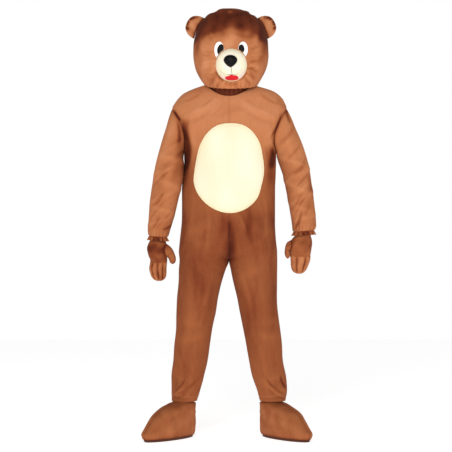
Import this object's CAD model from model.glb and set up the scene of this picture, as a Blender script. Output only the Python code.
"""Looks of the bear costume: plush shells with creases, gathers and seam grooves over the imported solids.

Metres, and millimetres in the tables that metres() reads, with angles in degrees. +X is the wearer's
left, -Y the front, +Z up. Heights in the tables are above the floor, SHOULDER below the origin. Each
cloth piece follows the sections of its solid on a finer grid, and its finer creases are laid on that
surface by hand. The pile's lean is kept in each mesh as "nap", from 0, brushed away and dark, to 1,
brushed flat and light.
"""
import math

import bpy
import numpy as np
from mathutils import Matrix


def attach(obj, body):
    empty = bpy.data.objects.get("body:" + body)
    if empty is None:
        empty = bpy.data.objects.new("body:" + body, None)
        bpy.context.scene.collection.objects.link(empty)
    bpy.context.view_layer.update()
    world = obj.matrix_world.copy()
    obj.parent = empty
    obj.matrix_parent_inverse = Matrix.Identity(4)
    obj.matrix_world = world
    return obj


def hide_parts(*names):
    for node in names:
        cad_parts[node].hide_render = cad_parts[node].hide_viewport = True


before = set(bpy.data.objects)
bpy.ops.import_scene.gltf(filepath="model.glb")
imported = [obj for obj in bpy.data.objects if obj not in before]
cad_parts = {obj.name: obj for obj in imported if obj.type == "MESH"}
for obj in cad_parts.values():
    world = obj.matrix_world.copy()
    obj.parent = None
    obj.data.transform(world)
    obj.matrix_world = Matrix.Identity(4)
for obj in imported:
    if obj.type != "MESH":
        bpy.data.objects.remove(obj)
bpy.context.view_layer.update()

SHOULDER = 1.45
CLOTH = 0.0022
SEAM = 0.0003
FOAM = 0.008
MITT_WALL = 0.003
THUMB_WALL = 0.002
BOOT_WALL = 0.004
SEAM_DIP = 0.0011
SEAM_ROLL = 0.0045


# Materials

def linear(code):
    """The linear colour of an sRGB hex value such as "c0ffee"."""
    parts = [int(code[k:k + 2], 16) / 255 for k in (0, 2, 4)]
    return tuple(c / 12.92 if c <= 0.04045 else ((c + 0.055) / 1.055) ** 2.4 for c in parts) + (1.0,)


def add(tree, kind, sockets=None, links=None, stops=(), **settings):
    """One shader node with its settings, fed through links, with its colour stops where it has them."""
    made = tree.nodes.new("ShaderNode" + kind)
    for name, value in settings.items():
        setattr(made, name, value)
    for name, value in (sockets or {}).items():
        made.inputs[name].default_value = value
    for name, source in (links or {}).items():
        tree.links.new(source, made.inputs[name])
    for n, (place, code) in enumerate(stops):
        element = made.color_ramp.elements[n] if n < 2 else made.color_ramp.elements.new(place)
        element.position = place
        element.color = linear(code)
    return made


def new_material(name, sockets):
    """A material with its shader's own settings, and the function that joins its colour and relief to it."""
    made = bpy.data.materials.new(name)
    made.use_nodes = True
    tree = made.node_tree
    shader = tree.nodes["Principled BSDF"]
    for socket, value in sockets.items():
        shader.inputs[socket].default_value = value

    def finish(colour, relief):
        tree.links.new(colour.outputs["Color"], shader.inputs["Base Color"])
        tree.links.new(relief.outputs["Normal"], shader.inputs["Normal"])
        return made
    return tree, finish


def pile_cloth(name, stops, patch_mm, streak_mm, pile_mm, sheen, tint, bump):
    """Polyester velour: a short cut pile that turns light or dark with its lean, over a knitted back.

    Patches are where the pile was brushed another way, streaks run down with the nap, and the pile itself,
    0.3 mm hairs in truth, is drawn as pile_mm tufts so that it still shows in the picture.
    """
    tree, finish = new_material(name, {
        "Roughness": 0.92, "IOR": 1.45, "Specular IOR Level": 0.18, "Sheen Weight": sheen,
        "Sheen Roughness": 0.45, "Sheen Tint": linear(tint)})
    place = add(tree, "TexCoord").outputs["Object"]
    nap = add(tree, "Attribute", attribute_name="nap").outputs["Fac"]
    down = add(tree, "Mapping", {"Scale": (1.0, 1.0, 0.30)}, {"Vector": place}).outputs["Vector"]
    patches = add(tree, "TexNoise", {"Scale": 1000 / patch_mm, "Detail": 2.0}, {"Vector": place})
    streaks = add(
        tree, "TexNoise", {"Scale": 1000 / streak_mm, "Detail": 4.0, "Roughness": 0.6}, {"Vector": down})
    tufts = add(
        tree, "TexNoise", {"Scale": 1000 / pile_mm, "Detail": 2.0, "Roughness": 0.7}, {"Vector": place})
    lean = add(tree, "Math", {1: 0.08, 2: -0.04}, {0: patches.outputs["Fac"]}, operation="MULTIPLY_ADD")
    brushed = add(tree, "Math", {1: 0.12, 2: -0.06}, {0: streaks.outputs["Fac"]}, operation="MULTIPLY_ADD")
    speck = add(tree, "Math", {1: 0.16, 2: -0.08}, {0: tufts.outputs["Fac"]}, operation="MULTIPLY_ADD")
    both = add(tree, "Math", {}, {0: lean.outputs[0], 1: brushed.outputs[0]}, operation="ADD")
    all_three = add(tree, "Math", {}, {0: both.outputs[0], 1: speck.outputs[0]}, operation="ADD")
    tone = add(tree, "Math", {}, {0: nap, 1: all_three.outputs[0]}, operation="ADD", use_clamp=True)
    ramp = add(tree, "ValToRGB", {}, {"Fac": tone.outputs[0]}, stops)
    relief = add(tree, "Bump", {"Strength": bump, "Distance": 0.0012}, {"Height": tufts.outputs["Fac"]})
    return finish(ramp, relief)


def smooth_cloth(name, dark, light, roughness, grain_mm, bump, sheen=0.0, level=0.5):
    """Felt, satin, thread or sole sheet: one colour, mottled a little, with a fine even grain."""
    tree, finish = new_material(
        name, {"Roughness": roughness, "Specular IOR Level": level, "Sheen Weight": sheen})
    place = add(tree, "TexCoord").outputs["Object"]
    grain = add(tree, "TexNoise", {"Scale": 1000 / grain_mm, "Detail": 3.0}, {"Vector": place})
    ramp = add(tree, "ValToRGB", {}, {"Fac": grain.outputs["Fac"]}, ((0.3, dark), (0.7, light)))
    relief = add(tree, "Bump", {"Strength": bump, "Distance": 0.0006}, {"Height": grain.outputs["Fac"]})
    return finish(ramp, relief)


BROWN_STOPS = ((0.0, "4a1a0c"), (0.25, "76361c"), (0.52, "9e5a34"), (0.78, "bc764c"), (1.0, "ce8c64"))
BROWN_VELOUR = pile_cloth("brown_velour", BROWN_STOPS, 50, 9, 3.0, 0.10, "c08058", 0.35)
TAN_STOPS = ((0.0, "5a2412"), (0.30, "a45e38"), (0.7, "c58258"), (1.0, "d4946a"))
TAN_VELOUR = pile_cloth("tan_velour", TAN_STOPS, 40, 12, 3.0, 0.22, "e8b080", 0.3)
CREAM_STOPS = ((0.0, "d9c594"), (0.4, "eadcb4"), (0.7, "f2e7ca"), (1.0, "fbf3de"))
CREAM_VELOUR = pile_cloth("cream_velour", CREAM_STOPS, 60, 16, 3.0, 0.15, "fff4d8", 0.22)
SHADOW_STOPS = ((0.0, "351208"), (0.45, "6a2e1a"), (1.0, "9a5233"))
SHADOW_CLOTH = pile_cloth("dark_brown_jersey", SHADOW_STOPS, 40, 10, 2.5, 0.1, "a06040", 0.2)
BLACK_SATIN = smooth_cloth("black_satin", "020202", "060606", 0.50, 2.5, 0.12, level=0.16)
BLACK_PLUSH = smooth_cloth("black_plush", "070707", "151413", 0.85, 2.0, 0.35, sheen=0.15, level=0.2)
WHITE_FELT = smooth_cloth("white_felt", "f2f3f5", "ffffff", 0.85, 2.2, 0.3, sheen=0.1, level=0.2)
RED_FELT = smooth_cloth("red_felt", "c40a18", "e81624", 0.8, 2.2, 0.35, sheen=0.1, level=0.2)
PINK_FELT = smooth_cloth("pale_pink_felt", "eecfc8", "f8e2dc", 0.85, 2.2, 0.3, level=0.2)
DARK_THREAD = smooth_cloth("dark_grey_thread", "3a3634", "565250", 0.6, 1.0, 0.2, level=0.3)
BROWN_THREAD = smooth_cloth("brown_thread", "5a2814", "7c4024", 0.55, 1.0, 0.2, level=0.4)
CREAM_THREAD = smooth_cloth("cream_thread", "e8dcb4", "f8eccc", 0.55, 1.0, 0.2, level=0.4)
SOLE_SHEET = smooth_cloth("brown_foam_rubber", "46200f", "5c2f18", 0.8, 1.6, 0.5, level=0.3)


# Curves through short tables

def curve(table, at):
    """Every column after the first, on a smooth line through the rows of a table."""
    rows = np.array(table, dtype=float)
    keys = rows[:, 0]
    step = np.diff(rows, axis=0)
    slopes = np.empty_like(rows)
    slopes[0] = step[0] / step[0, 0]
    slopes[-1] = step[-1] / step[-1, 0]
    slopes[1:-1] = (rows[2:] - rows[:-2]) / (keys[2:] - keys[:-2])[:, None]
    slopes[1:-1][step[:-1] * step[1:] <= 0] = 0.0
    at = np.clip(np.asarray(at, dtype=float), keys[0], keys[-1])
    row = np.clip(np.searchsorted(keys, at, side="right") - 1, 0, len(keys) - 2)
    span = (keys[row + 1] - keys[row])[..., None]
    s = (at - keys[row])[..., None] / span
    values = rows[row] * (1 + 2 * s) * (1 - s) ** 2 + slopes[row] * span * s * (1 - s) ** 2
    values = values + rows[row + 1] * s * s * (3 - 2 * s) + slopes[row + 1] * span * s * s * (s - 1)
    return list(np.moveaxis(values[..., 1:], -1, 0))


def steps_down(start, end, count):
    """Even steps down the rows of a grid."""
    return np.linspace(start, end, count)[:, None]


def steps_across(start, end, count):
    """Even steps along the columns of a grid."""
    return np.linspace(start, end, count)[None, :]


def numbered(table):
    return [(n,) + tuple(row) for n, row in enumerate(table)]


def metres(table, *plain):
    """A table written in millimetres, turned to metres but for the columns numbered in plain."""
    if isinstance(table, dict):
        return {key: metres(rows, *plain) for key, rows in table.items()}
    return tuple(tuple(value if n in plain else value / 1000 for n, value in enumerate(row)) for row in table)


def bend(value, power):
    return np.sign(value) * np.abs(value) ** power


def mix(start, end, share):
    return start + (end - start) * share


def cos(degrees):
    return np.cos(np.radians(degrees))


def sin(degrees):
    return np.sin(np.radians(degrees))


def places(x, y, z):
    return np.stack(np.broadcast_arrays(x, y, z), axis=-1).astype(float)


def ease(value):
    """From 0 to 1 with level ends."""
    value = np.clip(value, 0.0, 1.0)
    return value * value * (3 - 2 * value)


def fade(distance, width, power=1):
    """1 at no distance, falling off over a width."""
    return np.exp(-(distance / width) ** power)


def swells(seed, grid, size, stretch=(1.0, 1.0, 1.0)):
    """Soft unevenness from about -1 to 1 in space, with a swell in each size or so."""
    random = np.random.default_rng(seed)
    total = np.zeros(grid.shape[:-1])
    for _ in range(8):
        way = random.normal(size=3)
        way /= np.linalg.norm(way)
        wave = (grid * stretch) @ way * 2 * math.pi / size * random.uniform(0.7, 1.5)
        total = total + np.sin(wave + random.uniform(0, 2 * math.pi))
    return total / 4


def ridges(table, u, v):
    """Lift of hand-placed folds. Each is a soft ridge, or a trough where its rise is negative."""
    lift = np.zeros(np.broadcast(u, v).shape)
    for at_u, at_v, lean, length, width, rise in table:
        along = (u - at_u) * cos(lean) + (v - at_v) * sin(lean)
        across = (v - at_v) * cos(lean) - (u - at_u) * sin(lean)
        bowed = across - 0.12 * along * along / length
        lift = lift + rise * np.exp(-(bowed / width) ** 2 - (along / length) ** 4)
    return lift


def leaning(lift, crest, trough):
    """How far the pile leans from its fold: light on the crests, darker in the troughs."""
    return crest * np.maximum(lift, 0.0) + trough * np.minimum(lift, 0.0)


# Shells: two grids of points, outside and inside, joined along the free edges

def normals(grid, loop=False):
    if loop:
        across = np.roll(grid, -1, axis=1) - np.roll(grid, 1, axis=1)
    else:
        across = np.gradient(grid, axis=1)
    out = np.cross(np.gradient(grid, axis=0), across)
    out /= np.maximum(np.linalg.norm(out, axis=2, keepdims=True), 1e-12)
    away = grid - grid.mean(axis=1, keepdims=True)
    return -out if (out * away).sum() < 0 else out


def in_plane(directions, plane):
    """Directions laid into a seam plane and lengthened so that the wall keeps its thickness."""
    plane = np.array(plane, dtype=float)
    flat = directions - (directions @ plane)[..., None] * plane
    length = np.linalg.norm(flat, axis=-1, keepdims=True)
    return flat / np.maximum(length, 0.6) ** 2


def edge_distances(grid):
    """Distance of each point from its row's two ends and its column's two ends."""
    across = np.linalg.norm(np.diff(grid, axis=1), axis=2)
    along = np.linalg.norm(np.diff(grid, axis=0), axis=2)
    from_first = np.pad(np.cumsum(across, axis=1), ((0, 0), (1, 0)))
    from_bottom = np.pad(np.cumsum(along, axis=0), ((1, 0), (0, 0)))
    return from_first, from_first[:, -1:] - from_first, from_bottom, from_bottom[-1:] - from_bottom


def groove(distance, depth=SEAM_DIP, width=SEAM_ROLL):
    return -depth * fade(distance, width, 2)


def on_costume(name, mesh, cloth):
    """A finished mesh as a piece that rides on the costume's body."""
    mesh.materials.append(cloth)
    piece = bpy.data.objects.new(name, mesh)
    bpy.context.scene.collection.objects.link(piece)
    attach(piece, "root")
    return piece


def shell(name, outer, inner, cloth, nap, loop=False):
    """One closed shell on the costume, riding on its body, with its pile's lean kept at each point."""
    rows, columns = outer.shape[:2]
    inside = rows * columns
    index = np.arange(inside).reshape(rows, columns)
    ring = np.hstack([index, index[:, :1]]) if loop else index
    a, b, c, d = ring[:-1, :-1], ring[:-1, 1:], ring[1:, 1:], ring[1:, :-1]
    faces = [np.stack([a, b, c, d], axis=-1).reshape(-1, 4)]
    faces.append(np.stack([d, c, b, a], axis=-1).reshape(-1, 4) + inside)
    low, high = ring[0], ring[-1]
    faces.append(np.stack([low[1:], low[:-1], low[:-1] + inside, low[1:] + inside], axis=-1))
    faces.append(np.stack([high[:-1], high[1:], high[1:] + inside, high[:-1] + inside], axis=-1))
    if not loop:
        left, right = index[:, 0], index[:, -1]
        faces.append(np.stack([left[:-1], left[1:], left[1:] + inside, left[:-1] + inside], axis=-1))
        faces.append(np.stack([right[1:], right[:-1], right[:-1] + inside, right[1:] + inside], axis=-1))
    points = np.concatenate([outer.reshape(-1, 3), inner.reshape(-1, 3)])
    points[:, 2] -= SHOULDER
    mesh = bpy.data.meshes.new(name)
    mesh.from_pydata(points.tolist(), [], np.concatenate(faces).tolist())
    mesh.update()
    mesh.calc_loop_triangles()
    corners = np.zeros(len(mesh.loop_triangles) * 3, dtype=np.int32)
    mesh.loop_triangles.foreach_get("vertices", corners)
    p, q, r = np.moveaxis(points[corners.reshape(-1, 3)], 1, 0)
    if (p * np.cross(q, r)).sum() < 0:
        mesh.flip_normals()
    mesh.shade_smooth()
    mesh.set_sharp_from_angle(angle=math.radians(55))
    lean = np.broadcast_to(nap, (rows, columns)).ravel()
    stored = mesh.attributes.new("nap", "FLOAT", "POINT")
    stored.data.foreach_set("value", np.clip(np.concatenate([lean, lean * 0.8]), 0, 1).astype(np.float32))
    return on_costume(name, mesh, cloth)


def cut(grid, loop=False, oval=False):
    """Flat width, length and area of the cloth that a grid of points was cut from, in metres.

    An oval's outer rows follow its edge, so its width and length are those of the middle row and column.
    """
    ring = np.concatenate([grid, grid[:, :1]], axis=1) if loop else grid
    widths = np.linalg.norm(np.diff(ring, axis=1), axis=2).sum(axis=1)
    lengths = np.linalg.norm(np.diff(grid, axis=0), axis=2).sum(axis=0)
    width = widths[len(widths) // 2] if oval else widths.max()
    length = lengths[len(lengths) // 2] if oval else lengths.max()
    one = np.linalg.norm(np.cross(ring[1:, 1:] - ring[:-1, :-1], ring[1:, :-1] - ring[:-1, 1:]), axis=2)
    return width, length, one.sum() / 2


def cloth_piece(grid, loop=False, oval=False):
    """Declares a piece as a sheet cut from flat cloth, with the size of what shows."""
    width, length, area = cut(grid, loop, oval)
    area = max(area, 0.31 * width * length)


def plush_wall(name, base, out, thick, nap, shift=0.0, loop=False):
    """One cut piece of brown plush: its face, its back a wall's thickness behind, and what it stands for."""
    piece = shell(name, base + shift, base - out * thick + shift, BROWN_VELOUR, nap, loop)
    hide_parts(name.removeprefix("suit_"))
    cloth_piece(base, loop)


def tube(name, line, radius, cloth, sides=8):
    """A thread or cord lying along a line of points, as one closed tube."""
    line = np.asarray(line, dtype=float)
    along = np.gradient(line, axis=0)
    along /= np.maximum(np.linalg.norm(along, axis=1, keepdims=True), 1e-9)
    side = np.cross(along, (0.0, 1.0, 0.0))
    side /= np.maximum(np.linalg.norm(side, axis=1, keepdims=True), 1e-9)
    up = np.cross(side, along)
    turn = np.arange(sides) * 2 * math.pi / sides
    ends = ease(np.minimum(np.arange(len(line)), np.arange(len(line))[::-1]) / 3.0)[:, None, None]
    spoke = np.cos(turn)[None, :, None] * side[:, None] + np.sin(turn)[None, :, None] * up[:, None]
    outer = line[:, None] + spoke * radius * (0.25 + 0.75 * ends)
    return shell(name, outer, line[:, None] + spoke * radius * 0.1, cloth, 0.5, loop=True)


def stitches(name, line, out, cloth, length, spacing, thick=0.0005):
    """A row of running stitches along a line of points, joined into one mesh, each pulled in at its ends."""
    line = np.asarray(line, dtype=float)
    out = np.asarray(out, dtype=float)
    steps = np.linalg.norm(np.diff(line, axis=0), axis=1)
    at = np.concatenate([[0.0], np.cumsum(steps)])
    points = []
    faces = []
    for n in range(int(at[-1] / spacing)):
        middle = (n + 0.5) * spacing
        row = [middle + length * share for share in (-0.5, -0.25, 0.25, 0.5)]
        here = np.stack([np.interp(row, at, line[:, k]) for k in range(3)], axis=1)
        up = np.stack([np.interp(row, at, out[:, k]) for k in range(3)], axis=1)
        side = np.cross(here[-1] - here[0], up[0])
        side /= max(np.linalg.norm(side), 1e-9)
        start = len(points)
        for k, size in enumerate((0.35, 1.0, 1.0, 0.35)):
            lift = up[k] * thick * (size - 0.35)
            for a, b in ((1, 0), (0, 1), (-1, 0), (0, -0.6)):
                points.append(here[k] + lift + (side * a + up[k] * b) * thick * size)
        for k in range(3):
            for j in range(4):
                one = start + 4 * k
                faces.append((one + j, one + (j + 1) % 4, one + 4 + (j + 1) % 4, one + 4 + j))
        faces.append((start + 3, start + 2, start + 1, start))
        faces.append((start + 12, start + 13, start + 14, start + 15))
    points = np.array(points)
    points[:, 2] -= SHOULDER
    mesh = bpy.data.meshes.new(name)
    mesh.from_pydata(points.tolist(), [], faces)
    mesh.shade_smooth()
    return on_costume(name, mesh, cloth)


# Suit body: sections of the torso and legs. Sides and inner edges are distances from the centre seam.

BODY = metres((
    # height, right side, right inner, left inner, left side, front, back, squareness
    (158, 248, 138, 133, 244, 55, 54, 2.1), (200, 248.5, 125, 122, 250, 60, 60, 2.1),
    (260, 250, 108, 100, 246.5, 64, 67, 2.1), (330, 242, 90.5, 86, 233.5, 67, 74, 2.1),
    (400, 237.5, 82, 73.5, 229, 69, 72, 2.1), (467, 230, 72.5, 60.5, 220.5, 72, 71, 2.1),
    (536, 228.5, 57, 47.5, 212, 79, 79, 2.1), (605, 224.5, 46, 34, 208, 87, 91, 2.1),
    (674, 217, 30, 17, 207.5, 95, 103, 2.1), (722, 216, 15, 8, 207.5, 102, 112, 2.15),
    (765, 213, 0, 0, 207.5, 109, 120, 2.2), (800, 215.5, 0, 0, 207.5, 118, 130, 2.25),
    (850, 212, 0, 0, 203.5, 128, 133, 2.3), (920, 204, 0, 0, 199, 139, 128, 2.35),
    (1000, 203.5, 0, 0, 199, 147, 121, 2.35), (1070, 204, 0, 0, 199, 149, 119, 2.35),
    (1140, 197, 0, 0, 202, 147, 121, 2.35), (1190, 191, 0, 0, 203, 144, 125, 2.35),
    (1240, 193, 0, 0, 203, 140, 128, 2.35), (1280, 207, 0, 0, 211, 137, 129, 2.35),
    (1330, 226, 0, 0, 231, 132, 127, 2.35), (1374, 239, 0, 0, 243, 126, 121, 2.35),
    (1417, 245.5, 0, 0, 249.5, 116, 112, 2.35), (1452, 227, 0, 0, 237, 105, 100, 2.35),
    (1469, 212, 0, 0, 224, 98, 93, 2.35), (1487, 190, 0, 0, 202, 86, 82, 2.35),
    (1504, 152, 0, 0, 165, 66, 63, 2.35), (1515, 120, 0, 0, 127, 48, 46, 2.35),
    (1522, 100, 0, 0, 100, 34, 33, 2.35),
), 7)

LOWER_ROWS = metres((
    # height on the side seam, height on the inner seam, turn of the section at the inner seam
    (158, 158, 180), (172, 172, 180), (187, 187, 180), (203, 203, 180), (222, 222, 180), (248, 248, 180),
    (285, 285, 180), (325, 325, 180), (365, 365, 180), (405, 405, 180), (440, 440, 180), (475, 475, 180),
    (515, 515, 180), (560, 560, 180), (605, 605, 180), (650, 650, 180), (690, 690, 180), (722, 722, 180),
    (755, 747, 180), (780, 764, 180), (803, 770, 158), (828, 784, 138), (858, 808, 119), (893, 846, 104),
    (932, 900, 94), (975, 970, 90), (1020, 1020, 90), (1070, 1070, 90), (1120, 1120, 90), (1165, 1165, 90),
    (1205, 1205, 90), (1240, 1240, 90),
), 2)

UPPER_ROWS = metres((
    # turn round the armhole from the shoulder, height on the centre seam, turn round the neckline
    (180, 1240, 0), (150, 1270, 0), (124, 1305, 0), (100, 1345, 0), (78, 1385, 0), (58, 1426, 0),
    (41, 1466, 0), (30, 1466, 24), (20, 1466, 46), (10, 1466, 68), (0, 1466, 90),
), 0, 2)

ARMHOLE_TOP = 1.417
ARMHOLE_BOTTOM = 1.240
ARMHOLE_SCOOP = 0.125
NECK_RADIUS = 0.100
NECK_FRONT = 1.466
NECK_SIDE = 1.522
CROTCH_ROW = 19.5
LAST_LOWER = len(LOWER_ROWS) - 1
LAST_UPPER = len(UPPER_ROWS) - 1
HEM_STITCH = 0.016
FAINT_SEAM_FROM = 0.93
FAINT_SEAM = 0.25
BODY_LOWER = 230
BODY_UPPER = 84
BODY_COLUMNS = 54


def body_point(side, face, height, turn, inner_turn=90.0):
    """Point of the suit's outside. Turn 0 is the side seam, inner_turn the centre seam or the inseam."""
    right_side, right_inner, left_inner, left_side, front, back, square = curve(BODY, height)
    outer = left_side if side > 0 else right_side
    inner = left_inner if side > 0 else right_inner
    depth = front if face < 0 else back
    power = 2.0 / square
    reach = (outer - inner) / (1.0 - bend(cos(inner_turn), power))
    x = outer - reach + reach * bend(cos(turn), power)
    return places(side * x, face * depth * np.abs(sin(turn)) ** power, height)


def armhole(turn):
    """Height and section turn of the armhole seam, turn 0 on the shoulder and 180 under the arm."""
    height = (ARMHOLE_TOP + ARMHOLE_BOTTOM) / 2 + (ARMHOLE_TOP - ARMHOLE_BOTTOM) / 2 * cos(turn)
    share = 1.0 - ARMHOLE_SCOOP * sin(turn) ** 2
    square = curve(BODY, height)[6]
    return height, np.degrees(np.arccos(np.minimum(share ** (square / 2), 1.0)))


def neckline(side, turn):
    """Height and section turn of the neckline, turn 0 at the centre front and 90 on the shoulder seam."""
    height = mix(NECK_FRONT, NECK_SIDE, np.abs(sin(turn)) ** 2.2)
    row = curve(BODY, height)
    share = np.minimum(NECK_RADIUS * sin(turn) / (row[3] if side > 0 else row[0]), 1.0)
    return height, np.degrees(np.arccos(share ** (row[6] / 2)))


FOLDS = metres({
    # the largest folds, as in the solids: x, height, lean, half length, half width, height of the fold
    "front_left": (
        (190, 182, 8, 60, 10, 5), (200, 213, -14, 50, 12, 6), (170, 255, 12, 55, 15, 4),
        (150, 445, -18, 55, 20, 5), (150, 500, 12, 50, 18, 4), (90, 715, 32, 70, 22, 4),
        (110, 830, 38, 60, 20, 3), (130, 900, -20, 60, 22, 4), (175, 1290, 62, 55, 16, 5),
        (110, 1410, -28, 60, 18, 3),
    ),
    "front_right": (
        (-195, 180, -8, 60, 10, 5), (-190, 210, 14, 50, 12, 6), (-175, 250, -14, 55, 15, 4),
        (-155, 435, 16, 55, 20, 5), (-150, 495, -14, 50, 18, 4), (-95, 712, -32, 70, 22, 4),
        (-115, 825, -38, 60, 20, 3), (-130, 905, 20, 60, 22, 4), (-165, 1290, -64, 55, 16, 5),
        (-110, 1410, 28, 60, 18, 3),
    ),
    "back_left": (
        (185, 190, -10, 60, 11, 5), (165, 240, 10, 55, 14, 5), (145, 470, 8, 60, 16, 6),
        (150, 510, -10, 50, 16, 4), (110, 700, -24, 70, 20, 5), (120, 960, 10, 70, 20, 4),
    ),
    "back_right": (
        (-190, 188, 10, 60, 11, 5), (-165, 238, -8, 55, 14, 5), (-150, 465, -10, 60, 16, 6),
        (-145, 508, 8, 50, 16, 4), (-112, 695, 24, 70, 20, 5), (-125, 955, -12, 70, 20, 4),
    ),
}, 2)

FRONT_CREASES = metres((
    # x, height, lean, half length, half width, rise
    # soft vertical drapes of the legs
    (-165, 560, 88, 200, 14, 3), (-115, 600, 84, 150, 12, -3), (-205, 520, 92, 180, 10, -2),
    (-85, 640, 74, 90, 9, 3), (-150, 330, 82, 120, 12, 2.5), (-190, 300, 100, 100, 10, -2.2),
    (150, 560, 94, 200, 14, 3), (105, 560, 100, 160, 13, -3.2), (195, 600, 90, 190, 11, -2.2),
    (70, 660, 108, 90, 9, 2.8), (145, 340, 104, 130, 12, 2.8), (200, 300, 96, 100, 10, -2.2),
    # pulls from the crotch
    (-60, 745, -36, 60, 8, 2), (-50, 775, -22, 50, 7, -1), (62, 742, 38, 60, 8, 2),
    (48, 778, 24, 50, 7, -1), (-30, 830, 78, 60, 8, 2.2), (34, 850, 102, 70, 8, 2.4),
    # drapes under the patch and down the hips
    (52, 905, 104, 80, 10, 3.4), (85, 890, 108, 90, 10, -3), (-60, 900, 80, 80, 11, 2.8),
    (-100, 880, 82, 90, 12, -2.6), (165, 900, 104, 130, 10, 3.4), (180, 840, 98, 110, 8, -2.8),
    (-165, 920, 78, 120, 12, 3), (-182, 860, 86, 100, 8, -2.2),
    # chest pulls from the neck to the armholes
    (-150, 1400, 34, 60, 9, 2.6), (-130, 1372, 28, 60, 8, -2.2), (-85, 1428, 40, 50, 7, 1.8),
    (-185, 1330, 74, 50, 8, -3.4), (150, 1400, -34, 60, 9, 2.4), (128, 1370, -26, 60, 8, -2),
    (80, 1425, -40, 50, 7, 1.8), (188, 1325, -72, 50, 8, -3), (-186, 1250, 88, 80, 9, 3.6),
    (-168, 1230, 86, 80, 8, -3.4), (182, 1235, 92, 70, 9, 3.2), (170, 1180, 94, 70, 8, -2.6),
    (20, 1400, -8, 70, 10, 1.2), (-40, 1385, 10, 60, 9, -1),
    # ankle folds above the boot covers
    (-215, 205, 62, 40, 6, 4), (-205, 180, 48, 30, 5, -3.4), (-180, 190, 40, 50, 6, 3.4),
    (-160, 215, 46, 70, 7, -2.8), (-150, 180, 22, 30, 5, 2.6), (-228, 235, 84, 34, 5, -3),
    (210, 195, -44, 45, 6, 4.2), (196, 184, -36, 40, 5, -3.6), (180, 215, -48, 65, 7, 3.4),
    (165, 240, -54, 70, 7, -2.8), (158, 182, -18, 30, 5, 2.6), (228, 240, -70, 40, 5, -3.4),
), 2)

BACK_CREASES = metres((
    (-150, 580, 92, 190, 14, 3), (-100, 600, 96, 150, 12, -2.8), (145, 570, 88, 190, 14, 3),
    (98, 590, 84, 150, 12, -2.8), (-60, 735, -40, 60, 9, 3.2), (60, 738, 40, 60, 9, 3),
    (-110, 800, -30, 70, 12, -2.8), (112, 795, 30, 70, 12, -3), (-80, 890, 78, 90, 12, 2.8),
    (85, 900, 102, 90, 12, 3), (-150, 960, 84, 120, 12, -2.6), (155, 950, 96, 120, 12, -2.8),
    (-70, 1050, 12, 60, 10, 2.4), (75, 1045, -14, 60, 10, 2.4), (-160, 1300, -58, 60, 9, 3.4),
    (162, 1300, 58, 60, 9, 3.4), (-120, 1400, 30, 70, 10, 2.6), (125, 1400, -30, 70, 10, 2.6),
    (-100, 1250, 82, 100, 12, -2.4), (105, 1240, 98, 100, 12, -2.4), (-205, 205, 58, 45, 6, 3.6),
    (200, 205, -56, 45, 6, 3.8), (-170, 190, 34, 50, 6, -3), (172, 192, -36, 50, 6, -3),
    (-150, 230, -40, 50, 7, 2.8), (150, 228, 42, 50, 7, 2.8),
), 2)


def creases_at(face, x, height):
    return ridges(FRONT_CREASES if face < 0 else BACK_CREASES, x, height)


def armhole_outward(side, face, turn, part):
    """Outward direction along the armhole seam: one for body and sleeve, but back to back under the arm."""
    under = np.maximum(-cos(turn), 0.0)
    aside = side * under if part == "body" else -side * under
    out = places(1.6 * aside, face * sin(turn), cos(turn) + 0.8 * under)
    return out / np.linalg.norm(out, axis=-1, keepdims=True)


SUIT_NAP = metres((
    # height, lean of the pile: light on the chest, darker down the belly and the legs
    (150, 0.46), (260, 0.43), (400, 0.42), (560, 0.39), (720, 0.37), (850, 0.36), (930, 0.36), (1000, 0.44),
    (1120, 0.5), (1250, 0.72), (1340, 0.81), (1530, 0.83),
), 1)

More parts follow.
